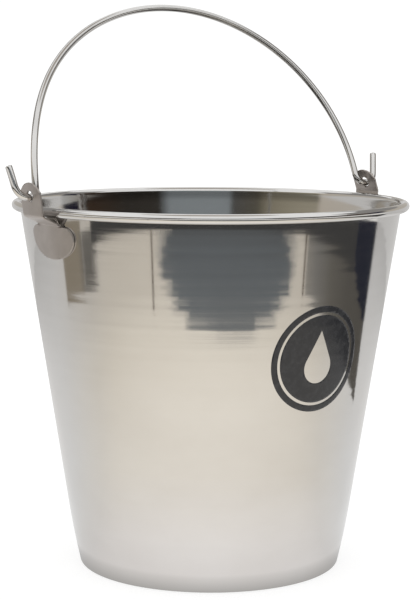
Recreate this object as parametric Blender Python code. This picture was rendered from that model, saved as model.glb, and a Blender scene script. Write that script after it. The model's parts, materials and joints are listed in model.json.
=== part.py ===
"""Stainless steel milk pail of twelve litres: a tapered shell, two bail ears, a wire bail and a round label.

Metres, +Z up, origin at the middle of the base on the floor. The ears stand on +X and -X, the label
faces -Y, and the bail rests leaning back towards +Y.
"""

import math

import bmesh
import bpy
import numpy as np

# Shell: one sheet, drawn deep, with its top edge rolled outwards into a bead.
PAIL_HEIGHT = 0.2709          # floor to the top of the bead
RIM_RADIUS = 0.146            # outside of the bead
SHEET = 0.0007                # wall and base thickness
BEAD_RADIUS = 0.00325         # outside radius of the rolled bead's section
BEAD_LAST_TURN = math.radians(58)     # how far the bead's free edge runs on past its lowest point
TAPER = math.radians(8.9)     # the wall's lean from upright
FOOT_TAPER = math.radians(13.1)       # its lean just above the base corner
FOOT_RADIUS = 0.62            # the gentle bend between the two
CORNER_RADIUS = 0.0025        # outside radius of the base corner
STANDING_RING = 0.0095        # width of the flat ring that touches the floor
PANEL_RISE = 0.0025           # how far the base's middle is pressed up inside the ring
PANEL_BEND = 0.003            # radius of the two bends round that panel
PANEL_SLOPE = math.radians(40)
SHELL_SEGMENTS = 60

# Ears: stamped sheet, spot-welded to the wall under the bead, stepping out past it to a tab with a hole.
EAR_SHEET = 0.0015
SEAT_GAP = 0.0003             # between a piece and the face it is fixed to
SHIELD_HALF_WIDTH = 0.0255
SHIELD_TOP = 0.0108           # these three are measured down from the top of the bead
SHIELD_WIDEST = 0.0206
SHIELD_BOTTOM = 0.0367
STEP_BEND = 0.0022            # bend from the wall out to the step, at the sheet's middle
NECK_BEND = 0.0032            # bend from the step up to the neck
STEP_RISE = math.radians(24)  # the step's slope above level
LEFT_NECK_RADIUS = 0.1540     # the -X neck's distance from the pail's axis, level with the bead's top
RIGHT_NECK_RADIUS = 0.1560
NECK_LEAN = math.radians(8)
NECK_HALF_WIDTH = 0.0125
NECK_FILLET = 0.0035          # rounding where the neck runs into the shield
TAB_BEND = 0.006
LEFT_TAB_LEAN = math.radians(8)       # the -X tab runs on straight from its neck
RIGHT_TAB_LEAN = math.radians(-20)    # the +X tab is bent in towards the rim
TAB_TOP = 0.0174              # the tab's top above the top of the bead
TAB_DOME_RISE = 0.0068        # height of the round top over the tab's shoulders
TAB_SHOULDER_ROUND = 0.002
HOLE_HEIGHT = 0.0080          # the hole's centre above the top of the bead
HOLE_RADIUS = 0.0038

# Bail: round wire, bent to a half ellipse, its ends bent out through the tabs and up into hooks.
# It is bent by hand, so its two ends differ, and the -X leg is twisted forward out of the bail's plane.
WIRE_RADIUS = 0.0025
PIVOT_HEIGHT = PAIL_HEIGHT + 0.00735  # the wire lies in the lower part of the holes
BAIL_HALF_SPAN = 0.1472
BAIL_RISE = 0.1449            # pivot axis to the crown's middle line
ARCH_FOOT = 0.0075            # height of the half ellipse's ends over the pivot axis
LEFT_LEG_OUT = 0.0030         # how far the leg's foot stands out from the ellipse
RIGHT_LEG_OUT = -0.0026
LEFT_LEG_FORWARD = 0.25       # the leg's slope forward at its foot
LEFT_LEG_BEND = 0.0055        # radius of the bend from the leg out through the tab
RIGHT_LEG_BEND = 0.0075
LEFT_FLAT = 0.0010            # straight stretch between that bend and the hook's
RIGHT_FLAT = 0.0016
LEFT_HOOK_BEND = 0.0105
RIGHT_HOOK_BEND = 0.0098
LEFT_HOOK_SPLAY = math.radians(13)
RIGHT_HOOK_SPLAY = math.radians(17)
LEFT_HOOK_LENGTH = 0.0140     # straight end of each hook
RIGHT_HOOK_LENGTH = 0.0177
BAIL_LEAN = math.radians(23)  # back from upright, at rest
WIRE_SIDES = 12
ARCH_STEPS = 48

# Label: a round film on the wall, halfway between the ears.
LABEL_RADIUS = 0.038
LABEL_FILM = 0.0002
LABEL_HEIGHT = 0.1678         # its centre above the floor

STEEL = (0.62, 0.61, 0.59)
EAR_STEEL = (0.50, 0.47, 0.44)
LABEL_BLACK = (0.035, 0.036, 0.040)


class SheetLine:
    """The middle line of a bent sheet or wire in a plane: straight runs and round bends.

    Every point keeps its heading, so that the sheet's faces can be offset from it exactly.
    """

    def __init__(self, x, y, heading):
        self.points = [(x, y, heading)]

    def run(self, length):
        x, y, heading = self.points[-1]
        self.points.append((x + length * math.cos(heading), y + length * math.sin(heading), heading))

    def bend(self, radius, angle, steps):
        """Turn by angle, positive to the left, along an arc of the given radius."""
        x, y, start = self.points[-1]
        side = math.copysign(radius, angle)
        centre_x = x - side * math.sin(start)
        centre_y = y + side * math.cos(start)
        for step in range(1, steps + 1):
            heading = start + angle * step / steps
            self.points.append((centre_x + side * math.sin(heading), centre_y - side * math.cos(heading), heading))

    def offset(self, distance):
        """The points moved to the left of the heading by distance."""
        return [(x - distance * math.sin(h), y + distance * math.cos(h)) for x, y, h in self.points]

    def sampled(self, length):
        """Point and heading at a length along the line."""
        array = np.array(self.points)
        gaps = np.hypot(np.diff(array[:, 0]), np.diff(array[:, 1]))
        along = np.concatenate([[0.0], np.cumsum(gaps)])
        return [float(np.interp(length, along, column)) for column in array.T]

    def length_at(self, index):
        array = np.array(self.points[: index + 1])
        return float(np.hypot(np.diff(array[:, 0]), np.diff(array[:, 1])).sum())


def clear_scene():
    for item in list(bpy.data.objects):
        bpy.data.objects.remove(item, do_unlink=True)


def make_material(name, colour, roughness, metallic):
    material = bpy.data.materials.new(name)
    material.use_nodes = True
    shader = material.node_tree.nodes["Principled BSDF"]
    shader.inputs["Base Color"].default_value = (*colour, 1.0)
    shader.inputs["Roughness"].default_value = roughness
    shader.inputs["Metallic"].default_value = metallic
    return material


def add_object(name, data, material):
    item = bpy.data.objects.new(name, data)
    item.data.materials.append(material)
    bpy.context.scene.collection.objects.link(item)
    return item


def mesh_from_bmesh(name, bm):
    bmesh.ops.recalc_face_normals(bm, faces=bm.faces)
    mesh = bpy.data.meshes.new(name)
    bm.to_mesh(mesh)
    bm.free()
    mesh.shade_smooth()
    mesh.set_sharp_from_angle(angle=math.radians(30))
    return mesh


def wall_radius(height):
    """Outside radius of the straight, tapered part of the wall."""
    bead_middle = PAIL_HEIGHT - BEAD_RADIUS
    top_radius = RIM_RADIUS - 2.0 * BEAD_RADIUS + SHEET
    return top_radius - (bead_middle - height) * math.tan(TAPER)


def shell_line():
    """Middle line of the sheet, from the bead's free edge over the top, down the wall and in to the axis."""
    curl = BEAD_RADIUS - SHEET / 2.0
    corner = CORNER_RADIUS - SHEET / 2.0
    free_end = -math.pi / 2.0 - BEAD_LAST_TURN
    centre_x = RIM_RADIUS - BEAD_RADIUS
    centre_z = PAIL_HEIGHT - BEAD_RADIUS
    start_x = centre_x + curl * math.cos(free_end)
    start_z = centre_z + curl * math.sin(free_end)
    line = SheetLine(start_x, start_z, free_end + math.pi / 2.0)
    line.bend(curl, BEAD_LAST_TURN, 2)
    line.bend(curl, math.pi / 2.0, 3)
    line.bend(curl, math.pi / 2.0, 3)
    line.bend(curl, math.pi / 2.0 - TAPER, 3)
    foot_drop = FOOT_RADIUS * (math.sin(FOOT_TAPER) - math.sin(TAPER))
    corner_drop = corner * (1.0 - math.sin(FOOT_TAPER))
    wall_drop = line.points[-1][1] - SHEET / 2.0 - foot_drop - corner_drop
    line.run(wall_drop / math.cos(TAPER))
    line.bend(FOOT_RADIUS, TAPER - FOOT_TAPER, 4)
    line.bend(corner, FOOT_TAPER - math.pi / 2.0, 4)
    line.run(STANDING_RING)
    line.bend(PANEL_BEND, -PANEL_SLOPE, 2)
    line.run((PANEL_RISE - 2.0 * PANEL_BEND * (1.0 - math.cos(PANEL_SLOPE))) / math.sin(PANEL_SLOPE))
    line.bend(PANEL_BEND, PANEL_SLOPE, 2)
    line.run(line.points[-1][0])
    return line


def build_shell(material):
    line = shell_line()
    section = line.offset(-SHEET / 2.0) + line.offset(SHEET / 2.0)[::-1]
    bm = bmesh.new()
    ring = [bm.verts.new((max(radius, 0.0), 0.0, height)) for radius, height in section]
    edges = [bm.edges.new(pair) for pair in zip(ring, ring[1:] + ring[:1])]
    on_axis = [edge for edge in edges if max(vert.co.x for vert in edge.verts) < 1e-6]
    for edge in on_axis:
        edges.remove(edge)
        bm.edges.remove(edge)
    bmesh.ops.spin(bm, geom=ring + edges, cent=(0, 0, 0), axis=(0, 0, 1), angle=math.tau,
                   steps=SHELL_SEGMENTS, use_duplicate=False)
    bmesh.ops.remove_doubles(bm, verts=bm.verts, dist=1e-6)
    return add_object("pail_shell", mesh_from_bmesh("pail_shell", bm), material)


def ear_line(neck_radius, tab_lean):
    """Middle line of an ear in a plane through the pail's axis, from the shield's bottom to the tab's top."""
    seat = SEAT_GAP + EAR_SHEET / 2.0
    bottom = PAIL_HEIGHT - SHIELD_BOTTOM
    upright = math.pi / 2.0
    line = SheetLine(wall_radius(bottom) + seat / math.cos(TAPER), bottom, upright - TAPER)
    line.run((SHIELD_BOTTOM - SHIELD_TOP - STEP_BEND) / math.cos(TAPER))
    line.bend(STEP_BEND, STEP_RISE - (upright - TAPER), 4)
    neck_foot = neck_radius - (SHIELD_TOP - NECK_BEND) * math.tan(NECK_LEAN)
    turn = upright - NECK_LEAN - STEP_RISE
    line.run((neck_foot - NECK_BEND * math.tan(turn / 2.0) - line.points[-1][0]) / math.cos(STEP_RISE))
    line.bend(NECK_BEND, turn, 4)
    line.run((PAIL_HEIGHT - line.points[-1][1]) / math.cos(NECK_LEAN))
    if tab_lean != NECK_LEAN:
        line.bend(TAB_BEND, NECK_LEAN - tab_lean, 4)
    line.run((PAIL_HEIGHT + TAB_TOP - line.points[-1][1]) / math.cos(tab_lean))
    return line


def length_at_height(line, height):
    """Length along an ear's middle line at which it reaches a height."""
    points = line.points
    heights = [point[1] for point in points]
    lengths = [line.length_at(index) for index in range(len(points))]
    return float(np.interp(height, heights, lengths))


def arc(centre, radii, start, end, steps):
    """Points on an ellipse's arc, both ends included."""
    angles = np.linspace(start, end, steps + 1)
    return [(centre[0] + radii[0] * math.cos(a), centre[1] + radii[1] * math.sin(a)) for a in angles]


def ear_outline(line):
    """Half of the flat pattern's edge at +u, from the bottom middle to the top middle, as (across, along)."""
    widest = length_at_height(line, PAIL_HEIGHT - SHIELD_WIDEST)
    shield_top = line.length_at(1)
    top = line.length_at(len(line.points) - 1)
    quarter = math.pi / 2.0
    lower = arc((0.0, widest), (SHIELD_HALF_WIDTH, widest), -quarter, 0.0, 8)
    upper = arc((NECK_HALF_WIDTH + NECK_FILLET, widest),
                (SHIELD_HALF_WIDTH - NECK_HALF_WIDTH - NECK_FILLET, shield_top - widest), 0.0, quarter, 4)
    fillet = arc((NECK_HALF_WIDTH + NECK_FILLET, shield_top + NECK_FILLET),
                 (NECK_FILLET, NECK_FILLET), -quarter, -math.pi, 3)
    dome_radius = (NECK_HALF_WIDTH ** 2 + TAB_DOME_RISE ** 2) / (2.0 * TAB_DOME_RISE)
    half_angle = math.asin(NECK_HALF_WIDTH / dome_radius)
    dome = arc((0.0, top - dome_radius), (dome_radius, dome_radius), quarter - half_angle * 0.86, quarter, 6)
    shoulder = [(NECK_HALF_WIDTH, top - TAB_DOME_RISE - TAB_SHOULDER_ROUND)]
    return lower + upper[1:] + fillet[1:] + shoulder + dome


def ear_columns():
    step = NECK_HALF_WIDTH / 2.0
    return [column * step for column in range(-4, 5)]


def build_ear(name, side, neck_radius, tab_lean, material):
    """An ear bent up from its flat pattern; side is +1 or -1 along X."""
    line = ear_line(neck_radius, tab_lean)
    half = ear_outline(line)
    outline = half + [(-across, along) for across, along in half[-2:0:-1]]
    hole = (0.0, length_at_height(line, PAIL_HEIGHT + HOLE_HEIGHT))
    hole_edge = arc(hole, (HOLE_RADIUS, HOLE_RADIUS), 0.0, math.tau, 24)[:-1]
    bm = bmesh.new()
    edges = []
    for loop in (outline, hole_edge):
        verts = [bm.verts.new((across, along, 0.0)) for across, along in loop]
        edges += [bm.edges.new(pair) for pair in zip(verts, verts[1:] + verts[:1])]
    bmesh.ops.triangle_fill(bm, edges=edges, use_beauty=True)
    rows = [line.length_at(index) for index in range(1, len(line.points) - 1)]
    for along in rows:
        cut_sheet(bm, (0.0, along, 0.0), (0.0, 1.0, 0.0))
    for across in ear_columns():
        cut_sheet(bm, (across, 0.0, 0.0), (1.0, 0.0, 0.0))
    for vert in bm.verts:
        radius, height, _ = line.sampled(vert.co.y)
        angle = vert.co.x / radius
        vert.co = (side * radius * math.cos(angle), side * radius * math.sin(angle), height)
    ear = add_object(name, mesh_from_bmesh(name, bm), material)
    add_thickness(ear, EAR_SHEET)
    return ear


def cut_sheet(bm, point, normal):
    """Add a row of edges across a flat sheet, so that it can bend there."""
    bmesh.ops.bisect_plane(bm, geom=bm.verts[:] + bm.edges[:] + bm.faces[:], dist=1e-5,
                           plane_co=point, plane_no=normal)


def add_thickness(item, thickness):
    solidify = item.modifiers.new("thickness", "SOLIDIFY")
    solidify.thickness = thickness
    solidify.offset = 0.0


def bail_end(leg_bend, flat, hook_bend, hook_splay, hook_length):
    """Middle line of one end of the wire, from the arch's end through the tab to the hook's tip."""
    line = SheetLine(BAIL_HALF_SPAN, ARCH_FOOT, -math.pi / 2.0)
    if leg_bend < ARCH_FOOT:
        line.run(ARCH_FOOT - leg_bend)
    line.bend(leg_bend, math.pi / 2.0, 6)
    line.run(flat)
    line.bend(hook_bend, math.pi / 2.0 - hook_splay, 7)
    line.run(hook_length)
    return [(x, z) for x, z, _ in line.points]


def bent_leg(x, z, leg_out, leg_forward):
    """A point of the wire moved out and forward with its leg, most at the foot and nothing at the crown."""
    share = (1.0 - z / BAIL_RISE) ** 2
    return x + math.copysign(1.0, x) * leg_out * share, -leg_forward * z * share, z


def bail_route():
    """The wire's middle line in its own upright plane, from the +X hook's tip to the -X hook's tip."""
    arch = arc((0.0, ARCH_FOOT), (BAIL_HALF_SPAN, BAIL_RISE - ARCH_FOOT), 0.0, math.pi, ARCH_STEPS)
    crown = ARCH_STEPS // 2 + 1
    right_end = bail_end(RIGHT_LEG_BEND, RIGHT_FLAT, RIGHT_HOOK_BEND, RIGHT_HOOK_SPLAY, RIGHT_HOOK_LENGTH)
    left_end = bail_end(LEFT_LEG_BEND, LEFT_FLAT, LEFT_HOOK_BEND, LEFT_HOOK_SPLAY, LEFT_HOOK_LENGTH)
    right = [bent_leg(x, z, RIGHT_LEG_OUT, 0.0) for x, z in right_end[:0:-1] + arch[:crown]]
    left_half = arch[crown:] + [(-x, z) for x, z in left_end[1:]]
    left = [bent_leg(x, z, LEFT_LEG_OUT, LEFT_LEG_FORWARD) for x, z in left_half]
    return right + left


def build_bail(material):
    """The wire stands up along its own Z, with its origin on the pivot axis, and leans back at rest."""
    route = bail_route()
    curve = bpy.data.curves.new("bail", "CURVE")
    curve.dimensions = "3D"
    curve.bevel_depth = WIRE_RADIUS
    curve.bevel_resolution = WIRE_SIDES // 2 - 2
    curve.use_fill_caps = True
    spline = curve.splines.new("POLY")
    spline.points.add(len(route) - 1)
    for point, place in zip(spline.points, route):
        point.co = (*place, 1.0)
    bail = add_object("bail", curve, material)
    bail.location = (0.0, 0.0, PIVOT_HEIGHT)
    bail.rotation_euler = (-BAIL_LEAN, 0.0, 0.0)
    return bail


def build_label(material):
    """A round film laid on the tapered wall, facing -Y."""
    bm = bmesh.new()
    spokes = [bm.verts.new((LABEL_RADIUS * share, 0.0, 0.0)) for share in (0.0, 1 / 3, 2 / 3, 1.0)]
    edges = [bm.edges.new(pair) for pair in zip(spokes, spokes[1:])]
    bmesh.ops.spin(bm, geom=spokes + edges, cent=(0, 0, 0), axis=(0, 0, 1), angle=math.tau,
                   steps=36, use_duplicate=False)
    bmesh.ops.remove_doubles(bm, verts=bm.verts, dist=1e-6)
    seat = (SEAT_GAP + LABEL_FILM / 2.0) / math.cos(TAPER)
    for vert in bm.verts:
        height = LABEL_HEIGHT + vert.co.y * math.cos(TAPER)
        radius = wall_radius(height) + seat
        angle = vert.co.x / radius
        vert.co = (radius * math.sin(angle), -radius * math.cos(angle), height)
    label = add_object("label", mesh_from_bmesh("label", bm), material)
    add_thickness(label, LABEL_FILM)
    return label


def build_pail():
    clear_scene()
    steel = make_material("polished_steel", STEEL, 0.22, 1.0)
    ear_steel = make_material("ear_steel", EAR_STEEL, 0.36, 1.0)
    wire_steel = make_material("wire_steel", STEEL, 0.18, 1.0)
    film = make_material("label_film", LABEL_BLACK, 0.35, 0.0)
    build_shell(steel)
    build_ear("left_ear", -1, LEFT_NECK_RADIUS, LEFT_TAB_LEAN, ear_steel)
    build_ear("right_ear", 1, RIGHT_NECK_RADIUS, RIGHT_TAB_LEAN, ear_steel)
    build_bail(wire_steel)
    build_label(film)


build_pail()
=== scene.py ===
"""Looks of the milk pail: fine meshes for its five pieces, stainless steel, and a pale studio."""

import json
import math

import bmesh
import bpy
import numpy as np
from mathutils import Matrix, Vector


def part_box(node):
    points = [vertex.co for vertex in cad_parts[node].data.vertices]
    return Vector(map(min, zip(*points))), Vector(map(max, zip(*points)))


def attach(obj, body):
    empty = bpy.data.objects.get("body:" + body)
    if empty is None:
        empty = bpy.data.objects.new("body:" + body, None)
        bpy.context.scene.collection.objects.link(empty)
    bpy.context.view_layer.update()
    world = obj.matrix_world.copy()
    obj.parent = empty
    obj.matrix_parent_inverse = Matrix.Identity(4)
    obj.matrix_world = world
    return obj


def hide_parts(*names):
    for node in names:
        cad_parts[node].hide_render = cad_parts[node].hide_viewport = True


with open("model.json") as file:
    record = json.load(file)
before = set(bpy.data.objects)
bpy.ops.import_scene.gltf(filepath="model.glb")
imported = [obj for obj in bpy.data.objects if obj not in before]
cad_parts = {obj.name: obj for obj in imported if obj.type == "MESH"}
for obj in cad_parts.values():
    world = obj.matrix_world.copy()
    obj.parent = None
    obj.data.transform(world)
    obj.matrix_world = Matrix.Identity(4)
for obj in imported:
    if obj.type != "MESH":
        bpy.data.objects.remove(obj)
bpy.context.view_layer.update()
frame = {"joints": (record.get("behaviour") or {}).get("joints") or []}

# Sizes read from the frame
SHELL_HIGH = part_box("pail_shell")[1]
PAIL_HEIGHT = SHELL_HIGH.z
RIM_RADIUS = SHELL_HIGH.x
PIVOT = Vector(frame["joints"][0]["pos_m"])
LABEL_LOW, LABEL_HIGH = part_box("label")

# Shell section
SHEET = 0.0007
BEAD_RADIUS = 0.00325
BEAD_LAST_TURN = math.radians(58)
TAPER = math.radians(8.9)
HOOP_TAPER = math.radians(5.5)         # the wall straightens a little just under the bead
HOOP_RADIUS = 0.2
HOOP_BEAD = 0.0034
FOOT_TAPER = math.radians(13.1)
FOOT_RADIUS = 0.62
CORNER_RADIUS = 0.0025
STANDING_RING = 0.0095
PANEL_RISE = 0.0025
PANEL_BEND = 0.003
PANEL_SLOPE = math.radians(40)
SHELL_SEGMENTS = 180
WALL_SLANT = 0.4                       # stretches whose cosine from level is under this are the wall
ROW = 0.0014                           # spacing of the wall's rows of points
RIPPLES = ((0.0118, 0.4, 9.0e-6), (0.0071, 2.1, 4.5e-6), (0.0046, 4.0, 2.4e-6))   # pitch, phase, height
OUT_OF_ROUND = ((2, 0.7, 6.0e-5), (3, 2.4, 3.0e-5), (5, 1.1, 1.2e-5))  # lobes, phase, height
ROUND_GROWTH = 1.5                     # how soon the lobes reach their full height above the stiff base

# Ears
EAR_SHEET = 0.0015
EAR_EDGE = 0.0004                      # rounding of the stamped edges
EAR_GRID = 0.001
WELDS = ((-0.0095, 0.0115), (0.0095, 0.0115))       # spot welds, across and up from the shield's bottom
WELD_RADIUS = 0.0042
WELD_DEPTH = 0.00010
SEAT_GAP = 0.0003
SHIELD_HALF_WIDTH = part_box("right_ear")[1].y
SHIELD_TOP = 0.0108
SHIELD_WIDEST = 0.0206
SHIELD_BOTTOM = 0.0367
STEP_BEND = 0.0022
NECK_BEND = 0.0032
STEP_RISE = math.radians(24)
LEFT_NECK_RADIUS = 0.1540
RIGHT_NECK_RADIUS = 0.1560
NECK_LEAN = math.radians(8)
NECK_HALF_WIDTH = 0.0125
NECK_FILLET = 0.0035
TAB_BEND = 0.006
LEFT_TAB_LEAN = math.radians(8)
RIGHT_TAB_LEAN = math.radians(-20)
TAB_TOP = 0.0174
TAB_DOME_RISE = 0.0068
TAB_DOME_SHARE = 0.9                   # the part of the dome's arc before its shoulders round it off
SHOULDER_FOOT = 0.0016                 # where a shoulder's curve starts, below the dome's foot
SHOULDER_PULL = 0.0004                 # and its corner, above it
CUT_MERGE = 2.0e-5                     # a cut this close to a point goes through it
HOLE_HEIGHT = 0.0080
HOLE_RADIUS = 0.0038

# Bail
WIRE_RADIUS = 0.0025
BAIL_HALF_SPAN = 0.1472
BAIL_RISE = 0.1449
ARCH_FOOT = 0.0075
LEFT_LEG_OUT = 0.0030
RIGHT_LEG_OUT = -0.0026
LEFT_LEG_FORWARD = 0.25
LEFT_LEG_BEND = 0.0055
RIGHT_LEG_BEND = 0.0075
LEFT_FLAT = 0.0010
RIGHT_FLAT = 0.0016
LEFT_HOOK_BEND = 0.0105
RIGHT_HOOK_BEND = 0.0098
LEFT_HOOK_SPLAY = math.radians(13)
RIGHT_HOOK_SPLAY = math.radians(17)
LEFT_HOOK_LENGTH = 0.0140
RIGHT_HOOK_LENGTH = 0.0177
ARCH_STEPS = 144
BAIL_LEAN = math.radians(23)
WIRE_SIDES = 32
WIRE_END = 0.0009                      # rounding of the wire's ends

# Label
LABEL_HEIGHT = (LABEL_LOW.z + LABEL_HIGH.z) / 2.0
LABEL_RADIUS = (LABEL_HIGH.z - LABEL_LOW.z) / 2.0 / math.cos(TAPER)
FILM = 0.00012
FILM_GAP = 0.00006
RING_OUTSIDE = 0.0335                  # a bare ring inside the label's edge
RING_INSIDE = 0.0315
DROP_RADIUS = 0.0118                   # the drop left bare in its middle
DROP_LOW = 0.0058                      # its round centre, below the label's
DROP_TIP = 0.0205
FILM_GRID = 0.0015

# Camera, seen from the pail's axis
CAMERA_BEARING = math.radians(-37.12)
CAMERA_DISTANCE = 1.314
CAMERA_HEIGHT = 0.3631
CAMERA_PITCH = math.radians(7.255)
CAMERA_YAW = math.radians(-0.197)
CAMERA_ROLL = math.radians(0.243)
CAMERA_LENS = 106.916
CAMERA_SHIFT = 0.0050
CAMERA_SENSOR = 36.0

# Stage. Bearings are in degrees round the pail from the camera's side, to the right as the camera sees it.
FLOOR_REACH = 12.0
FLOOR_LEVEL = -0.0002
FLOOR_GLOW = 0.68
FLOOR_WHITE = 0.42
SKY_STRENGTH = 1.05
CARD_REACH = 9.0                       # in rim radii
LIGHT_LEVEL = 0.0004                   # heights of the cards that lie on the floor
LOWER_LEVEL = 0.0020
UPPER_LEVEL = 0.0030
TOP_LEVEL = 0.0045
SKIRTING_TOP = 0.40                    # heights of the upright cards
SURROUND_TOP = 0.72
UPPER_FOOT = 0.70
UPPER_TOP = 1.45
CEILING_REACH = 3.2
CEILING_HEIGHT = 1.5
FRONT_LEFT = -79                       # the bearings between which the upright cards are coloured
FRONT_RIGHT = 115
SHADE_FOOT = 0.3                       # their tone at the lower edge, and how fast it gets full
SHADE_RISE = 1.5
SKIRTING_PALE = 0.7                    # the pale share of the skirting's height in front

COARSE_TOOTH = 0.25                    # pitches of the jagged sides, in rim radii
FINE_TOOTH = 0.071
COARSE_SHARE = 0.75
OTHER_SIDE_PHASE = 0.35
JAGGED_ROWS = 240                      # grids of the cards
PLAIN_ROWS = 60
WALL_ROWS = 12
FLOOR_COLUMN = 1.5
WALL_COLUMN = 4.0

FRONT_SPAN = 55.0                      # the floor's light is the front's up to here, and then turns
TURN_SPAN = 65.0                       # to the back's over this many degrees
SIDE_DIM = 0.16                        # it dims by this much towards the sides
SIDE_SPAN = 75.0
STREAKS = ((37.0, 0.0, 0.5), (83.0, 1.3, 0.4), (151.0, 0.4, 0.3))     # pitch, phase, share
STREAK_SKEW = 0.002
FRONT_STREAKS = 0.10
OLIVE_STREAKS = 0.04

# Light and colour: stops are (distance, colour) on the floor and (bearing, colour) round the pail
BEIGE = (0.56, 0.51, 0.44)
STONE = (0.50, 0.48, 0.45)
SLATE = (0.25, 0.275, 0.29)
SOOT = (0.036, 0.032, 0.027)
UMBER = (0.073, 0.045, 0.029)
INDIGO = (0.025, 0.023, 0.048)
NAVY = (0.022, 0.024, 0.036)
BROWN = (0.29, 0.25, 0.195)
PATCH = (0.16, 0.15, 0.135)
PALE_BLUE = (0.58, 0.60, 0.61)
RIM_DARK = (0.055, 0.054, 0.053)
UPPER_GREY = (0.30, 0.29, 0.28)
CEILING_TONE = (0.50, 0.46, 0.42)
SKIRTING_BACK = (0.66, 0.65, 0.64)
SKIRTING_LOW = (0.95, 0.93, 0.90)
# The darker first stop of both floor lists, at the pail's foot, is painted shade: a contact shadow where the
# floor meets the foot.
FRONT_FLOOR = ((0.65, (0.55, 0.54, 0.53)), (0.68, (0.98, 0.95, 0.94)), (1.1, (1.08, 1.04, 1.01)),
               (1.8, (1.05, 0.99, 0.90)), (3.0, (1.02, 0.95, 0.84)), (3.6, (0.94, 0.87, 0.76)),
               (4.3, (0.76, 0.70, 0.61)), (9.0, (0.72, 0.66, 0.57)))
BACK_FLOOR = ((0.65, (0.45, 0.45, 0.45)), (0.68, (0.76, 0.76, 0.76)), (1.1, (0.86, 0.86, 0.86)),
              (3.2, (0.82, 0.81, 0.80)), (5.0, (0.74, 0.73, 0.72)), (7.0, (0.62, 0.61, 0.60)),
              (9.0, (0.52, 0.51, 0.50)))
FRONT_DARK = ((3.5, (0.21, 0.22, 0.225)), (4.1, (0.165, 0.18, 0.19)), (4.7, (0.145, 0.158, 0.168)),
              (5.4, (0.115, 0.122, 0.126)))
FRONT_EDGE = ((-25, 4.6), (-22, 4.2), (-17, 3.85), (-10, 3.62), (-3, 3.51), (3, 3.46), (16, 3.46),
              (22, 3.51), (28, 3.60), (37, 3.85), (42, 4.2), (45, 4.6))     # (bearing, distance)
OLIVES = ((57, (0.30, 0.28, 0.25)), (64, (0.215, 0.205, 0.19)), (76, (0.145, 0.135, 0.118)),
          (90, (0.11, 0.102, 0.09)), (115, (0.105, 0.097, 0.085)))
SURROUND = ((-180, STONE), (-80, BEIGE), (-78, (0.45, 0.41, 0.32)), (-38, (0.24, 0.215, 0.16)),
            (-34, (0.105, 0.095, 0.072)), (-16, (0.085, 0.082, 0.078)), (-12, SLATE), (30, SLATE),
            (34, SOOT), (60, SOOT), (96, UMBER), (98, INDIGO), (114, INDIGO), (116, BEIGE), (180, STONE))
SKIRTING_FRONT = ((-79, (0.57, 0.55, 0.50)), (-60, (0.42, 0.42, 0.36)), (-38, (0.22, 0.20, 0.17)),
                  (-34, (0.12, 0.11, 0.095)), (-16, (0.10, 0.10, 0.095)), (-12, PALE_BLUE), (30, PALE_BLUE),
                  (34, (0.055, 0.052, 0.045)), (70, (0.07, 0.06, 0.055)), (84, (0.15, 0.14, 0.13)),
                  (96, (0.33, 0.31, 0.28)), (115, (0.50, 0.50, 0.49)))


class SheetLine:
    """The middle line of a bent sheet or wire in a plane; every point keeps its heading."""

    def __init__(self, x, y, heading):
        self.points = [(x, y, heading)]

    def run(self, length, spacing=None):
        """Go straight on, with a point about every spacing."""
        steps = max(1, round(length / spacing)) if spacing else 1
        x, y, heading = self.points[-1]
        for step in range(1, steps + 1):
            along = length * step / steps
            self.points.append((x + along * math.cos(heading), y + along * math.sin(heading), heading))

    def bend(self, radius, angle, steps):
        """Turn by angle, positive to the left, along an arc of the given radius."""
        x, y, start = self.points[-1]
        side = math.copysign(radius, angle)
        centre_x = x - side * math.sin(start)
        centre_y = y + side * math.cos(start)
        for step in range(1, steps + 1):
            heading = start + angle * step / steps
            x = centre_x + side * math.sin(heading)
            y = centre_y - side * math.cos(heading)
            self.points.append((x, y, heading))

    def offset(self, distance):
        """The points moved to the left of the heading by distance."""
        return [(x - distance * math.sin(h), y + distance * math.cos(h)) for x, y, h in self.points]


def add_piece(name, bm, material, body, node):
    """Turn a bmesh into a piece that rides on a body and stands for a CAD node."""
    bmesh.ops.recalc_face_normals(bm, faces=bm.faces)
    mesh = bpy.data.meshes.new(name)
    bm.to_mesh(mesh)
    bm.free()
    mesh.shade_smooth()
    mesh.materials.append(material)
    piece = bpy.data.objects.new(name, mesh)
    bpy.context.scene.collection.objects.link(piece)
    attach(piece, body)
    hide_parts(node)
    return piece


def arc(centre, radii, start, end, steps):
    """Points on an ellipse's arc, both ends included."""
    angles = np.linspace(start, end, steps + 1)
    return [(centre[0] + radii[0] * math.cos(a), centre[1] + radii[1] * math.sin(a)) for a in angles]


def wall_radius(height):
    """Outside radius of the straight, tapered part of the wall."""
    bead_middle = PAIL_HEIGHT - BEAD_RADIUS
    return RIM_RADIUS - 2.0 * BEAD_RADIUS + SHEET - (bead_middle - height) * math.tan(TAPER)


def wall_wave(angle, height):
    """How far the wall stands off its true cone: rings from the drawing, and a body not quite round."""
    rings = sum(size * math.sin(math.tau * height / pitch + phase) for pitch, phase, size in RIPPLES)
    lobes = sum(size * math.sin(count * angle + phase) for count, phase, size in OUT_OF_ROUND)
    return rings + lobes * min(1.0, height / PAIL_HEIGHT * ROUND_GROWTH)


# Shell

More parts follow.
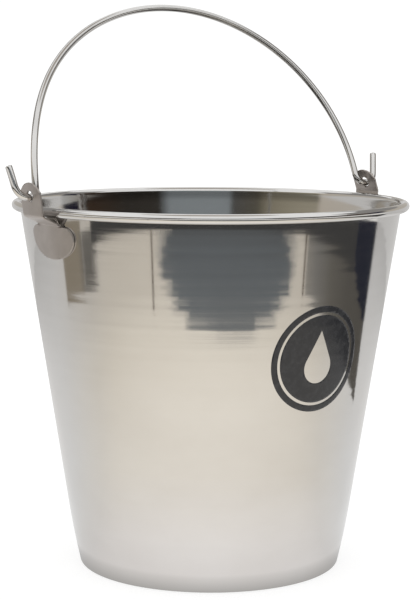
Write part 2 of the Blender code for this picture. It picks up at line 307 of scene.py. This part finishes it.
def shell_line():
    """Middle line of the sheet, from the bead's free edge over the top, down the wall and in to the axis."""
    curl = HOOP_BEAD - SHEET / 2.0
    corner = CORNER_RADIUS - SHEET / 2.0
    free_end = -math.pi / 2.0 - BEAD_LAST_TURN
    start_x = RIM_RADIUS - HOOP_BEAD + curl * math.cos(free_end)
    start_z = PAIL_HEIGHT - HOOP_BEAD + curl * math.sin(free_end)
    line = SheetLine(start_x, start_z, free_end + math.pi / 2.0)
    line.bend(curl, BEAD_LAST_TURN, steps=8)
    line.bend(curl, math.pi * 1.5 - HOOP_TAPER, steps=40)
    line.bend(HOOP_RADIUS, HOOP_TAPER - TAPER, steps=10)
    foot_drop = FOOT_RADIUS * (math.sin(FOOT_TAPER) - math.sin(TAPER))
    corner_drop = corner * (1.0 - math.sin(FOOT_TAPER))
    wall_drop = line.points[-1][1] - SHEET / 2.0 - foot_drop - corner_drop
    line.run(wall_drop / math.cos(TAPER), spacing=ROW)
    line.bend(FOOT_RADIUS, TAPER - FOOT_TAPER, steps=34)
    line.bend(corner, FOOT_TAPER - math.pi / 2.0, steps=12)
    line.run(STANDING_RING, spacing=0.002)
    line.bend(PANEL_BEND, -PANEL_SLOPE, steps=5)
    line.run((PANEL_RISE - 2.0 * PANEL_BEND * (1.0 - math.cos(PANEL_SLOPE))) / math.sin(PANEL_SLOPE))
    line.bend(PANEL_BEND, PANEL_SLOPE, steps=5)
    line.run(line.points[-1][0], spacing=0.01)
    return line


def build_shell(material):
    """The section turned round the axis, with the wall's waves; its two points on the axis are single."""
    line = shell_line()
    section = line.offset(-SHEET / 2.0) + line.offset(SHEET / 2.0)[::-1]
    wavy = [abs(math.cos(h)) < WALL_SLANT and x < RIM_RADIUS - HOOP_BEAD for x, _, h in line.points]
    wavy += wavy[::-1]
    bm = bmesh.new()
    rings = []
    for (radius, height), waves in zip(section, wavy):
        if radius < 1e-6:
            rings.append([bm.verts.new((0.0, 0.0, height))])
            continue
        ring = []
        for step in range(SHELL_SEGMENTS):
            angle = math.tau * step / SHELL_SEGMENTS
            out = radius + (wall_wave(angle, height) if waves else 0.0)
            ring.append(bm.verts.new((out * math.cos(angle), out * math.sin(angle), height)))
        rings.append(ring)
    for first, second in zip(rings, rings[1:] + rings[:1]):
        if len(first) == len(second) == 1:
            continue
        for step in range(SHELL_SEGMENTS):
            following = (step + 1) % SHELL_SEGMENTS
            if len(first) == 1:
                bm.faces.new((first[0], second[step], second[following]))
            elif len(second) == 1:
                bm.faces.new((first[step], second[0], first[following]))
            else:
                bm.faces.new((first[step], second[step], second[following], first[following]))
    shell = add_piece("shell", bm, material, "pail", "pail_shell")
    return shell


# Ears

def ear_line(neck_radius, tab_lean):
    """Middle line of an ear in a plane through the pail's axis, from the shield's bottom to the tab's top."""
    seat = SEAT_GAP + EAR_SHEET / 2.0
    bottom = PAIL_HEIGHT - SHIELD_BOTTOM
    upright = math.pi / 2.0
    line = SheetLine(wall_radius(bottom) + seat / math.cos(TAPER), bottom, upright - TAPER)
    line.run((SHIELD_BOTTOM - SHIELD_TOP - STEP_BEND) / math.cos(TAPER))
    shield_end = len(line.points) - 1
    line.bend(STEP_BEND, STEP_RISE - (upright - TAPER), steps=10)
    neck_foot = neck_radius - (SHIELD_TOP - NECK_BEND) * math.tan(NECK_LEAN)
    turn = upright - NECK_LEAN - STEP_RISE
    line.run((neck_foot - NECK_BEND * math.tan(turn / 2.0) - line.points[-1][0]) / math.cos(STEP_RISE))
    line.bend(NECK_BEND, turn, steps=10)
    line.run((PAIL_HEIGHT - line.points[-1][1]) / math.cos(NECK_LEAN))
    if tab_lean != NECK_LEAN:
        line.bend(TAB_BEND, NECK_LEAN - tab_lean, steps=8)
    line.run((PAIL_HEIGHT + TAB_TOP - line.points[-1][1]) / math.cos(tab_lean))
    return line, shield_end


def lengths_along(line):
    """Length along the line at each of its points."""
    points = np.array(line.points)
    gaps = np.hypot(np.diff(points[:, 0]), np.diff(points[:, 1]))
    return np.concatenate([[0.0], np.cumsum(gaps)])


def eased(start, corner, end, t):
    """A point on the curve from start to end that is pulled towards the corner between them."""
    return tuple((1 - t) ** 2 * a + 2 * t * (1 - t) * b + t * t * c for a, b, c in zip(start, corner, end))


def ear_outline(widest, shield_top, top):
    """Half of the flat pattern's edge, from the bottom middle to the top middle, as (across, along)."""
    quarter = math.pi / 2.0
    lower = arc((0.0, widest), (SHIELD_HALF_WIDTH, widest), -quarter, 0.0, 40)
    upper = arc((NECK_HALF_WIDTH + NECK_FILLET, widest),
                (SHIELD_HALF_WIDTH - NECK_HALF_WIDTH - NECK_FILLET, shield_top - widest), 0.0, quarter, 16)
    fillet = arc((NECK_HALF_WIDTH + NECK_FILLET, shield_top + NECK_FILLET),
                 (NECK_FILLET, NECK_FILLET), -quarter, -math.pi, 8)
    dome_radius = (NECK_HALF_WIDTH ** 2 + TAB_DOME_RISE ** 2) / (2.0 * TAB_DOME_RISE)
    half_angle = math.asin(NECK_HALF_WIDTH / dome_radius)
    dome = arc((0.0, top - dome_radius), (dome_radius, dome_radius),
               quarter - half_angle * TAB_DOME_SHARE, quarter, 20)
    foot = (NECK_HALF_WIDTH, top - TAB_DOME_RISE - SHOULDER_FOOT)
    corner = (NECK_HALF_WIDTH, top - TAB_DOME_RISE + SHOULDER_PULL)
    shoulder = [eased(foot, corner, dome[0], share) for share in np.linspace(0.0, 1.0, 6)[:-1]]
    return lower + upper[1:] + fillet[1:] + shoulder + dome


def cut_sheet(bm, point, normal):
    """Add a row of edges across a flat sheet, so that it can bend there."""
    bmesh.ops.bisect_plane(bm, geom=bm.verts[:] + bm.edges[:] + bm.faces[:], dist=CUT_MERGE,
                           plane_co=point, plane_no=normal)


def fill_flat(bm, loops, grid):
    """Fill flat outlines, holes included, and cut the sheet into a grid so that it can bend."""
    edges = []
    for loop in loops:
        verts = [bm.verts.new((across, along, 0.0)) for across, along in loop]
        edges += [bm.edges.new(pair) for pair in zip(verts, verts[1:] + verts[:1])]
    bmesh.ops.triangle_fill(bm, edges=edges, use_beauty=True)
    for axis in (0, 1):
        low = min(vert.co[axis] for vert in bm.verts)
        high = max(vert.co[axis] for vert in bm.verts)
        count = round((high - low) / grid)
        normal = [0.0, 0.0, 0.0]
        normal[axis] = 1.0
        for step in range(1, count):
            point = [0.0, 0.0, 0.0]
            point[axis] = low + (high - low) * step / count
            cut_sheet(bm, point, normal)


def add_thickness(piece, sheet):
    """Thicken a surface to a sheet, half to each side."""
    thickness = piece.modifiers.new("thickness", "SOLIDIFY")
    thickness.thickness = sheet
    thickness.offset = 0.0


def weld_dip(across, along):
    """Depth of the spot welds' shallow dimples at a point of the shield."""
    dip = 0.0
    for weld_across, weld_along in WELDS:
        distance = math.hypot(across - weld_across, along - weld_along) / WELD_RADIUS
        if distance < 1.0:
            dip += WELD_DEPTH * (0.5 + 0.5 * math.cos(math.pi * distance))
    return dip


def build_ear(name, side, neck_radius, tab_lean, material):
    """An ear bent up from its flat pattern; side is +1 or -1 along X."""
    line, shield_end = ear_line(neck_radius, tab_lean)
    points = np.array(line.points)
    lengths = lengths_along(line)
    widest = float(np.interp(PAIL_HEIGHT - SHIELD_WIDEST, points[:, 1], lengths))
    hole_along = float(np.interp(PAIL_HEIGHT + HOLE_HEIGHT, points[:, 1], lengths))
    half = ear_outline(widest, float(lengths[shield_end]), float(lengths[-1]))
    outline = half + [(-across, along) for across, along in half[-2:0:-1]]
    hole = arc((0.0, hole_along), (HOLE_RADIUS, HOLE_RADIUS), 0.0, math.tau, 48)[:-1]
    bm = bmesh.new()
    fill_flat(bm, (outline, hole), EAR_GRID)
    for along in lengths[shield_end:-1]:
        cut_sheet(bm, (0.0, along, 0.0), (0.0, 1.0, 0.0))
    for vert in bm.verts:
        radius, height, heading = [float(np.interp(vert.co.y, lengths, column)) for column in points.T]
        angle = vert.co.x / radius
        radius -= weld_dip(vert.co.x, vert.co.y)
        vert.co = (side * radius * math.cos(angle), side * radius * math.sin(angle), height)
    ear = add_piece(name, bm, material, "pail", name)
    ear.name = name + "_sheet"
    add_thickness(ear, EAR_SHEET)
    rounding = ear.modifiers.new("rounding", "BEVEL")
    rounding.width = EAR_EDGE
    rounding.segments = 3
    rounding.limit_method = "ANGLE"
    rounding.angle_limit = math.radians(50)
    rounding.use_clamp_overlap = False
    normals = ear.modifiers.new("normals", "WEIGHTED_NORMAL")
    normals.keep_sharp = True
    return ear


# Bail

def bail_end(leg_bend, flat, hook_bend, hook_splay, hook_length):
    """Middle line of one end of the wire, from the arch's end through the tab to the hook's tip."""
    line = SheetLine(BAIL_HALF_SPAN, ARCH_FOOT, -math.pi / 2.0)
    if leg_bend < ARCH_FOOT:
        line.run(ARCH_FOOT - leg_bend)
    line.bend(leg_bend, math.pi / 2.0, steps=16)
    line.run(flat)
    line.bend(hook_bend, math.pi / 2.0 - hook_splay, steps=18)
    line.run(hook_length, spacing=0.003)
    return [(x, z) for x, z, _ in line.points]


def bent_leg(x, z, leg_out, leg_forward):
    """A point of the wire moved out and forward with its leg, most at the foot and nothing at the crown."""
    share = (1.0 - z / BAIL_RISE) ** 2
    return Vector((x + math.copysign(1.0, x) * leg_out * share, -leg_forward * z * share, z))


def bail_route():
    """The wire's middle line in its own upright plane, from the +X hook's tip to the -X hook's tip."""
    arch = arc((0.0, ARCH_FOOT), (BAIL_HALF_SPAN, BAIL_RISE - ARCH_FOOT), 0.0, math.pi, ARCH_STEPS)
    crown = ARCH_STEPS // 2 + 1
    right_end = bail_end(RIGHT_LEG_BEND, RIGHT_FLAT, RIGHT_HOOK_BEND, RIGHT_HOOK_SPLAY, RIGHT_HOOK_LENGTH)
    left_end = bail_end(LEFT_LEG_BEND, LEFT_FLAT, LEFT_HOOK_BEND, LEFT_HOOK_SPLAY, LEFT_HOOK_LENGTH)
    right = [bent_leg(x, z, RIGHT_LEG_OUT, 0.0) for x, z in right_end[:0:-1] + arch[:crown]]
    left_half = arch[crown:] + [(-x, z) for x, z in left_end[1:]]
    left = [bent_leg(x, z, LEFT_LEG_OUT, LEFT_LEG_FORWARD) for x, z in left_half]
    return right + left


def rounded_ends(route):
    """Points and wire radii along the route, with both ends domed over a short length."""
    points = list(route)
    radii = [WIRE_RADIUS] * len(points)
    for end in (0, -1):
        tip = points[end]
        inward = (points[1] - tip).normalized() if end == 0 else (points[-2] - tip).normalized()
        dome = [(tip + inward * WIRE_END * (1.0 - math.cos(t)), WIRE_RADIUS - WIRE_END * (1.0 - math.sin(t)))
                for t in np.linspace(0.0, math.pi / 2.0, 6)]
        if end == 0:
            points = [place for place, _ in dome] + points[1:]
            radii = [size for _, size in dome] + radii[1:]
        else:
            points = points[:-1] + [place for place, _ in dome[::-1]]
            radii = radii[:-1] + [size for _, size in dome[::-1]]
    return points, radii


def build_bail(material):
    """Rings of points along the wire, joined up and turned to the bail's lean at rest."""
    points, radii = rounded_ends(bail_route())
    lean = Matrix.Translation(PIVOT) @ Matrix.Rotation(-BAIL_LEAN, 4, "X")
    bm = bmesh.new()
    rings = []
    for index, (point, radius) in enumerate(zip(points, radii)):
        before = points[max(index - 1, 0)]
        after = points[min(index + 1, len(points) - 1)]
        ahead = (after - before).normalized()
        aside = ahead.cross(Vector((0.0, 1.0, 0.0))).normalized()
        ring = []
        for step in range(WIRE_SIDES):
            angle = math.tau * step / WIRE_SIDES
            spoke = aside * math.cos(angle) + Vector((0.0, 1.0, 0.0)) * math.sin(angle)
            ring.append(bm.verts.new(lean @ (point + spoke * radius)))
        rings.append(ring)
    for first, second in zip(rings, rings[1:]):
        for step in range(WIRE_SIDES):
            following = (step + 1) % WIRE_SIDES
            bm.faces.new((first[step], first[following], second[following], second[step]))
    for ring in (rings[0], rings[-1]):
        bm.faces.new(ring)
    bail = add_piece("bail_wire", bm, material, "bail", "bail")
    return bail


# Label

def drop_outline():
    """A drop: a round bowl with two straight sides that meet in a tip."""
    distance = DROP_TIP + DROP_LOW
    open_angle = math.acos(DROP_RADIUS / distance)
    start = math.pi / 2.0 + open_angle
    bowl = arc((0.0, -DROP_LOW), (DROP_RADIUS, DROP_RADIUS), start, start + math.tau - 2.0 * open_angle, 40)
    return bowl + [(0.0, DROP_TIP)]


def circle(radius):
    return arc((0.0, 0.0), (radius, radius), 0.0, math.tau, 120)[:-1]


def build_label(material):
    """Two flat films, a ring and a disc with a drop cut out, wrapped on the waving wall."""
    bm = bmesh.new()
    for loops in ((circle(LABEL_RADIUS), circle(RING_OUTSIDE)), (circle(RING_INSIDE), drop_outline())):
        part = bmesh.new()
        fill_flat(part, loops, FILM_GRID)
        flat = bpy.data.meshes.new("film")
        part.to_mesh(flat)
        part.free()
        bm.from_mesh(flat)
        bpy.data.meshes.remove(flat)
    for vert in bm.verts:
        height = LABEL_HEIGHT + vert.co.y * math.cos(TAPER)
        angle = vert.co.x / wall_radius(height)
        bearing = angle - math.pi / 2.0
        seat = (FILM_GAP + FILM / 2.0) / math.cos(TAPER)
        radius = wall_radius(height) + wall_wave(bearing % math.tau, height) + seat
        vert.co = (radius * math.cos(bearing), radius * math.sin(bearing), height)
    label = add_piece("label_print", bm, material, "pail", "label")
    add_thickness(label, FILM)
    return label


# Materials

class Nodes:
    """A material's node tree, with short calls to add nodes and links."""

    def __init__(self, name):
        self.material = bpy.data.materials.new(name)
        self.material.use_nodes = True
        self.tree = self.material.node_tree
        self.shader = self.tree.nodes["Principled BSDF"]

    def add(self, kind, **settings):
        node = self.tree.nodes.new(kind)
        for key, value in settings.items():
            setattr(node, key, value)
        return node

    def link(self, source, target):
        self.tree.links.new(source, target)

    def stretched(self, scale):
        """The object's own coordinates in metres, stretched by a scale along each axis."""
        place = self.add("ShaderNodeTexCoord")
        stretch = self.add("ShaderNodeMapping")
        stretch.inputs["Scale"].default_value = scale
        self.link(place.outputs["Object"], stretch.inputs["Vector"])
        return stretch.outputs["Vector"]

    def noise(self, scale, detail=3.0, roughness=0.55):
        """Noise whose scale, in cycles to the metre, differs by axis."""
        texture = self.add("ShaderNodeTexNoise")
        texture.inputs["Scale"].default_value = 1.0
        texture.inputs["Detail"].default_value = detail
        texture.inputs["Roughness"].default_value = roughness
        self.link(self.stretched(scale), texture.inputs["Vector"])
        return texture.outputs["Fac"]

    def ranged(self, value, low, high, from_low=0.3, from_high=0.7):
        """A value spread over a new range; noise lies mostly between 0.3 and 0.7."""
        spread = self.add("ShaderNodeMapRange")
        spread.inputs["From Min"].default_value = from_low
        spread.inputs["From Max"].default_value = from_high
        spread.inputs["To Min"].default_value = low
        spread.inputs["To Max"].default_value = high
        self.link(value, spread.inputs["Value"])
        return spread.outputs["Result"]

    def tinted(self, value, dark, light):
        """A colour between two, by a value."""
        blend = self.add("ShaderNodeMix", data_type="RGBA")
        blend.inputs["A"].default_value = (*dark, 1.0)
        blend.inputs["B"].default_value = (*light, 1.0)
        self.link(value, blend.inputs["Factor"])
        return blend.outputs["Result"]

    def bump(self, height, distance, before=None):
        """A bump of the given depth in metres, on top of another."""
        bump = self.add("ShaderNodeBump")
        bump.inputs["Strength"].default_value = 1.0
        bump.inputs["Distance"].default_value = distance
        self.link(height, bump.inputs["Height"])
        if before is not None:
            self.link(before, bump.inputs["Normal"])
        return bump.outputs["Normal"]


def polished_steel():
    """Bright drawn sheet: fine lines running round the pail, a little cloudiness, faint wiping marks."""
    nodes = Nodes("shell_steel")
    nodes.shader.inputs["Metallic"].default_value = 1.0
    cloud = nodes.noise((9.0, 9.0, 14.0), detail=4.0)
    nodes.link(nodes.tinted(nodes.ranged(cloud, 0.0, 1.0), (0.640, 0.630, 0.615), (0.690, 0.685, 0.675)),
               nodes.shader.inputs["Base Color"])
    lines = nodes.noise((14.0, 14.0, 2600.0), detail=2.0)
    nodes.link(nodes.ranged(lines, 0.05, 0.11), nodes.shader.inputs["Roughness"])
    broad = nodes.noise((6.0, 6.0, 420.0), detail=3.0)
    first = nodes.bump(broad, 6.0e-6)
    nodes.link(nodes.bump(lines, 1.6e-6, first), nodes.shader.inputs["Normal"])
    return nodes.material


def ear_steel():
    """Stamped sheet with a satin face: fine grain, slightly browner than the shell."""
    nodes = Nodes("satin_steel")
    nodes.shader.inputs["Metallic"].default_value = 1.0
    cloud = nodes.noise((90.0, 90.0, 90.0), detail=4.0)
    nodes.link(nodes.tinted(nodes.ranged(cloud, 0.0, 1.0), (0.42, 0.385, 0.36), (0.48, 0.445, 0.42)),
               nodes.shader.inputs["Base Color"])
    grain = nodes.noise((2200.0, 2200.0, 900.0), detail=2.0)
    nodes.link(nodes.ranged(grain, 0.30, 0.42), nodes.shader.inputs["Roughness"])
    nodes.link(nodes.bump(grain, 6.0e-6), nodes.shader.inputs["Normal"])
    return nodes.material


def wire_steel():
    """Bright drawn wire with faint die lines."""
    nodes = Nodes("bail_steel")
    nodes.shader.inputs["Metallic"].default_value = 1.0
    cloud = nodes.noise((60.0, 60.0, 60.0), detail=4.0)
    nodes.link(nodes.tinted(nodes.ranged(cloud, 0.0, 1.0), (0.60, 0.59, 0.575), (0.68, 0.67, 0.655)),
               nodes.shader.inputs["Base Color"])
    nodes.link(nodes.ranged(cloud, 0.08, 0.14), nodes.shader.inputs["Roughness"])
    grain = nodes.noise((500.0, 500.0, 500.0), detail=2.0)
    nodes.link(nodes.bump(grain, 0.4e-6), nodes.shader.inputs["Normal"])
    return nodes.material


def label_film():
    """Black print with a slight sheen, a little worn."""
    nodes = Nodes("black_film")
    wear = nodes.noise((260.0, 260.0, 260.0), detail=6.0, roughness=0.7)
    worn = nodes.ranged(wear, 0.0, 1.0, 0.45, 0.8)
    nodes.link(nodes.tinted(worn, (0.016, 0.017, 0.020), (0.034, 0.035, 0.038)),
               nodes.shader.inputs["Base Color"])
    nodes.link(nodes.ranged(wear, 0.12, 0.22), nodes.shader.inputs["Roughness"])
    nodes.link(nodes.bump(wear, 3.0e-6), nodes.shader.inputs["Normal"])
    return nodes.material


# Stage: a white floor and sky, with reflector cards that only the steel sees

def glow(name, colour, painted=False):
    """A surface that only gives light; painted means that its mesh carries a colour at each point."""
    material = bpy.data.materials.new(name)
    material.use_nodes = True
    tree = material.node_tree
    shader = tree.nodes["Principled BSDF"]
    shader.inputs["Base Color"].default_value = (0.0, 0.0, 0.0, 1.0)
    shader.inputs["Specular IOR Level"].default_value = 0.0
    shader.inputs["Emission Color"].default_value = (*colour, 1.0)
    shader.inputs["Emission Strength"].default_value = 1.0
    if painted:
        tone = tree.nodes.new("ShaderNodeAttribute")
        tone.attribute_name = "tone"
        tree.links.new(tone.outputs["Color"], shader.inputs["Emission Color"])
    return material


def stage_object(name, mesh, material, reflections_only=True):
    mesh.materials.append(material)
    item = bpy.data.objects.new(name, mesh)
    bpy.context.scene.collection.objects.link(item)
    if reflections_only:
        item.visible_camera = False
        item.visible_diffuse = False
        item.visible_shadow = False
    return item


def around(bearing, distance, height):
    """A point by its bearing from the camera's side, in degrees, and its distance in rim radii."""
    angle = CAMERA_BEARING + math.radians(bearing)
    reach = distance * RIM_RADIUS
    return (math.sin(angle) * reach, -math.cos(angle) * reach, height)


def blended(places, value):
    """A colour read from (place, colour) stops."""
    stops = [place for place, _ in places]
    return [float(np.interp(value, stops, channel)) for channel in zip(*[colour for _, colour in places])]


def teeth(distance, phase, size):
    """A jagged offset of a card's side, in degrees, along its length."""
    coarse = 2.0 * abs((distance / COARSE_TOOTH + phase) % 1.0 - 0.5)
    fine = 2.0 * abs((distance / FINE_TOOTH + phase) % 1.0 - 0.5)
    return size * (coarse * COARSE_SHARE + fine * (1.0 - COARSE_SHARE) - 0.5)


def card(name, columns, rows, place, tone):
    """A grid of points from place(share across, share along), each painted by tone(the same shares)."""
    across, along = np.meshgrid(np.arange(columns + 1), np.arange(rows + 1), indexing="ij")
    shares = [(u / columns, v / rows) for u, v in zip(across.ravel(), along.ravel())]
    faces = []
    for column in range(columns):
        for row in range(rows):
            corner = column * (rows + 1) + row
            faces.append((corner, corner + rows + 1, corner + rows + 2, corner + 1))
    mesh = bpy.data.meshes.new(name)
    mesh.from_pydata([place(u, v) for u, v in shares], [], faces)
    paint = mesh.color_attributes.new("tone", "FLOAT_COLOR", "POINT")
    for point, (u, v) in zip(paint.data, shares):
        point.color = (*tone(u, v), 1.0)
    return stage_object(name, mesh, glow(name, (1.0, 1.0, 1.0), painted=True))


def floor_card(name, left, right, near, far, level, tone, jagged=0.0):
    """A card on the floor between two bearings; near lists (bearing, distance) along its inner edge."""
    near_bearings = [bearing for bearing, _ in near]
    near_distances = [distance for _, distance in near]

    def spot(u, v):
        start = float(np.interp(left + (right - left) * u, near_bearings, near_distances))
        distance = start + (far - start) * v
        low = left + teeth(distance, 0.0, jagged)
        high = right - teeth(distance, OTHER_SIDE_PHASE, jagged)
        return low + (high - low) * u, distance

    def place(u, v):
        return around(*spot(u, v), level)

    def paint(u, v):
        return tone(*spot(u, v))

    rows = JAGGED_ROWS if jagged else PLAIN_ROWS
    columns = max(4, round((right - left) / FLOOR_COLUMN))
    return card(name, columns, rows, place, paint)


def wall_card(name, left, right, low, high, tone):
    """A curved upright card between two bearings and two heights."""

    def place(u, v):
        return around(left + (right - left) * u, CARD_REACH, low + (high - low) * v)

    def paint(u, v):
        return tone(left + (right - left) * u, v)

    columns = max(4, round((right - left) / WALL_COLUMN))
    return card(name, columns, WALL_ROWS, place, paint)


def floor_light(bearing, distance):
    """Warm light from the floor in front, cooler and dimmer round the back, with painted shade at the pail's
    foot.
    """
    front = blended(FRONT_FLOOR, distance)
    back = blended(BACK_FLOOR, distance)
    turn = min(1.0, max(0.0, (abs(bearing) - FRONT_SPAN) / TURN_SPAN))
    turn = turn * turn * (3.0 - 2.0 * turn)
    side = 1.0 - SIDE_DIM * min(1.0, (abs(bearing) / SIDE_SPAN) ** 2)
    return [side * f * (1.0 - turn) + b * turn for f, b in zip(front, back)]


def streaked(colour, distance, depth):
    """A colour with soft streaks along a card."""
    wave = sum(size * math.sin(distance * pitch + phase) for pitch, phase, size in STREAKS)
    return [channel * (1.0 + depth * wave) for channel in colour]


def front_tone(bearing, distance):
    """The dark card in front: darker further out, with streaks that run slightly askew."""
    return streaked(blended(FRONT_DARK, distance), distance + STREAK_SKEW * bearing, FRONT_STREAKS)


def olive_tone(bearing, distance):
    """The olive card on the right: darker towards the side."""
    return streaked(blended(OLIVES, bearing), distance, OLIVE_STREAKS)


def plain(colour):
    """A card's tone that is the same all over."""

    def tone(across, along):
        return colour

    return tone


def surround_tone(bearing, rise):
    """The upright card that the inside of the pail mirrors; its front is darker towards its lower edge."""
    shade = 1.0
    if FRONT_LEFT < bearing < FRONT_RIGHT:
        shade = min(1.0, SHADE_FOOT + SHADE_RISE * rise)
    return [channel * shade for channel in blended(SURROUND, bearing)]


def skirting_tone(bearing, rise):
    """The upright card below it: plain round the back, and in front pale low down and coloured above."""
    if not FRONT_LEFT < bearing < FRONT_RIGHT:
        return SKIRTING_BACK
    if rise < SKIRTING_PALE:
        return SKIRTING_LOW
    return blended(SKIRTING_FRONT, bearing)


def build_floor():
    floor = bpy.data.meshes.new("floor")
    corners = [(-FLOOR_REACH, -FLOOR_REACH, 0.0), (FLOOR_REACH, -FLOOR_REACH, 0.0),
               (FLOOR_REACH, FLOOR_REACH, 0.0), (-FLOOR_REACH, FLOOR_REACH, 0.0)]
    floor.from_pydata(corners, [], [(0, 1, 2, 3)])
    white = glow("floor_white", (FLOOR_GLOW, FLOOR_GLOW, FLOOR_GLOW))
    shader = white.node_tree.nodes["Principled BSDF"]
    shader.inputs["Base Color"].default_value = (FLOOR_WHITE, FLOOR_WHITE, FLOOR_WHITE, 1.0)
    stage_object("floor", floor, white, reflections_only=False).location.z = FLOOR_LEVEL


def build_floor_cards():
    """Cards on the floor, by bearing and by distance in rim radii; the higher level covers the lower."""
    floor_card("floor_light", -180, 180, [(-180, 0.65), (180, 0.65)], CARD_REACH, LIGHT_LEVEL, floor_light)
    floor_card("front_dark", -25, 45, FRONT_EDGE, 5.6, UPPER_LEVEL, front_tone, jagged=16.0)
    floor_card("left_line", -33.2, -32.3, [(-33, 3.9)], 5.5, UPPER_LEVEL, plain(UMBER))
    floor_card("right_line", 55.2, 56.2, [(55, 4.3)], 5.6, UPPER_LEVEL, plain(UMBER))
    floor_card("right_olive", 57, 115, [(57, 4.4), (84, 3.9), (115, 3.15)], CARD_REACH, LOWER_LEVEL,
               olive_tone, jagged=1.5)
    floor_card("right_navy", 94, 115, [(94, 5.9), (104, 5.2), (115, 4.9)], CARD_REACH, UPPER_LEVEL,
               plain(NAVY), jagged=5.0)
    floor_card("left_brown", -98, -80, [(-98, 4.9), (-80, 4.7)], 8.0, LOWER_LEVEL, plain(BROWN))
    floor_card("left_patch", -81, -70, [(-81, 4.7), (-70, 4.7)], 6.2, UPPER_LEVEL, plain(PATCH), jagged=7.0)
    floor_card("rim_dark", -72, 95, [(-72, 5.55), (95, 5.55)], CARD_REACH, TOP_LEVEL, plain(RIM_DARK))


def build_upright_cards():
    """Upright cards all round, darker ones high at the sides, and a small ceiling over the pail."""
    wall_card("skirting", -180, 180, 0.0, SKIRTING_TOP, skirting_tone)
    wall_card("surround", -180, 180, SKIRTING_TOP, SURROUND_TOP, surround_tone)
    wall_card("left_upper", -165, -85, UPPER_FOOT, UPPER_TOP, plain(UPPER_GREY))
    wall_card("right_upper", 85, 165, UPPER_FOOT, UPPER_TOP, plain(UPPER_GREY))
    edge = [around(bearing, CEILING_REACH, CEILING_HEIGHT) for bearing in range(0, 360, 10)]
    ceiling = bpy.data.meshes.new("ceiling")
    ceiling.from_pydata(edge, [], [tuple(range(len(edge)))])
    stage_object("ceiling", ceiling, glow("ceiling", CEILING_TONE))


def build_sky():
    world = bpy.data.worlds.new("studio")
    bpy.context.scene.world = world
    world.use_nodes = True
    world.node_tree.nodes["Background"].inputs["Color"].default_value = (1.0, 1.0, 1.0, 1.0)
    world.node_tree.nodes["Background"].inputs["Strength"].default_value = SKY_STRENGTH
    bpy.context.scene.view_settings.view_transform = "Standard"


def make_camera():
    """A camera that looks at the pail's axis, from a bearing, distance and height."""
    data = bpy.data.cameras.new("camera")
    data.lens = CAMERA_LENS
    data.sensor_width = CAMERA_SENSOR
    camera = bpy.data.objects.new("camera", data)
    bpy.context.scene.collection.objects.link(camera)
    away = Vector((math.sin(CAMERA_BEARING), -math.cos(CAMERA_BEARING), 0.0))
    place = away * CAMERA_DISTANCE + Vector((0.0, 0.0, CAMERA_HEIGHT))
    turn = Matrix.Rotation(CAMERA_BEARING - CAMERA_YAW, 4, "Z")
    tip = Matrix.Rotation(math.pi / 2.0 - CAMERA_PITCH, 4, "X")
    roll = Matrix.Rotation(CAMERA_ROLL, 4, "Z")
    camera.matrix_world = Matrix.Translation(place) @ turn @ tip @ roll
    data.shift_x = CAMERA_SHIFT
    bpy.context.scene.camera = camera


make_camera()
build_floor()
build_floor_cards()
build_upright_cards()
build_sky()
build_shell(polished_steel())
satin = ear_steel()
build_ear("left_ear", -1, LEFT_NECK_RADIUS, LEFT_TAB_LEAN, satin)
build_ear("right_ear", 1, RIGHT_NECK_RADIUS, RIGHT_TAB_LEAN, satin)
build_bail(wire_steel())
build_label(label_film())
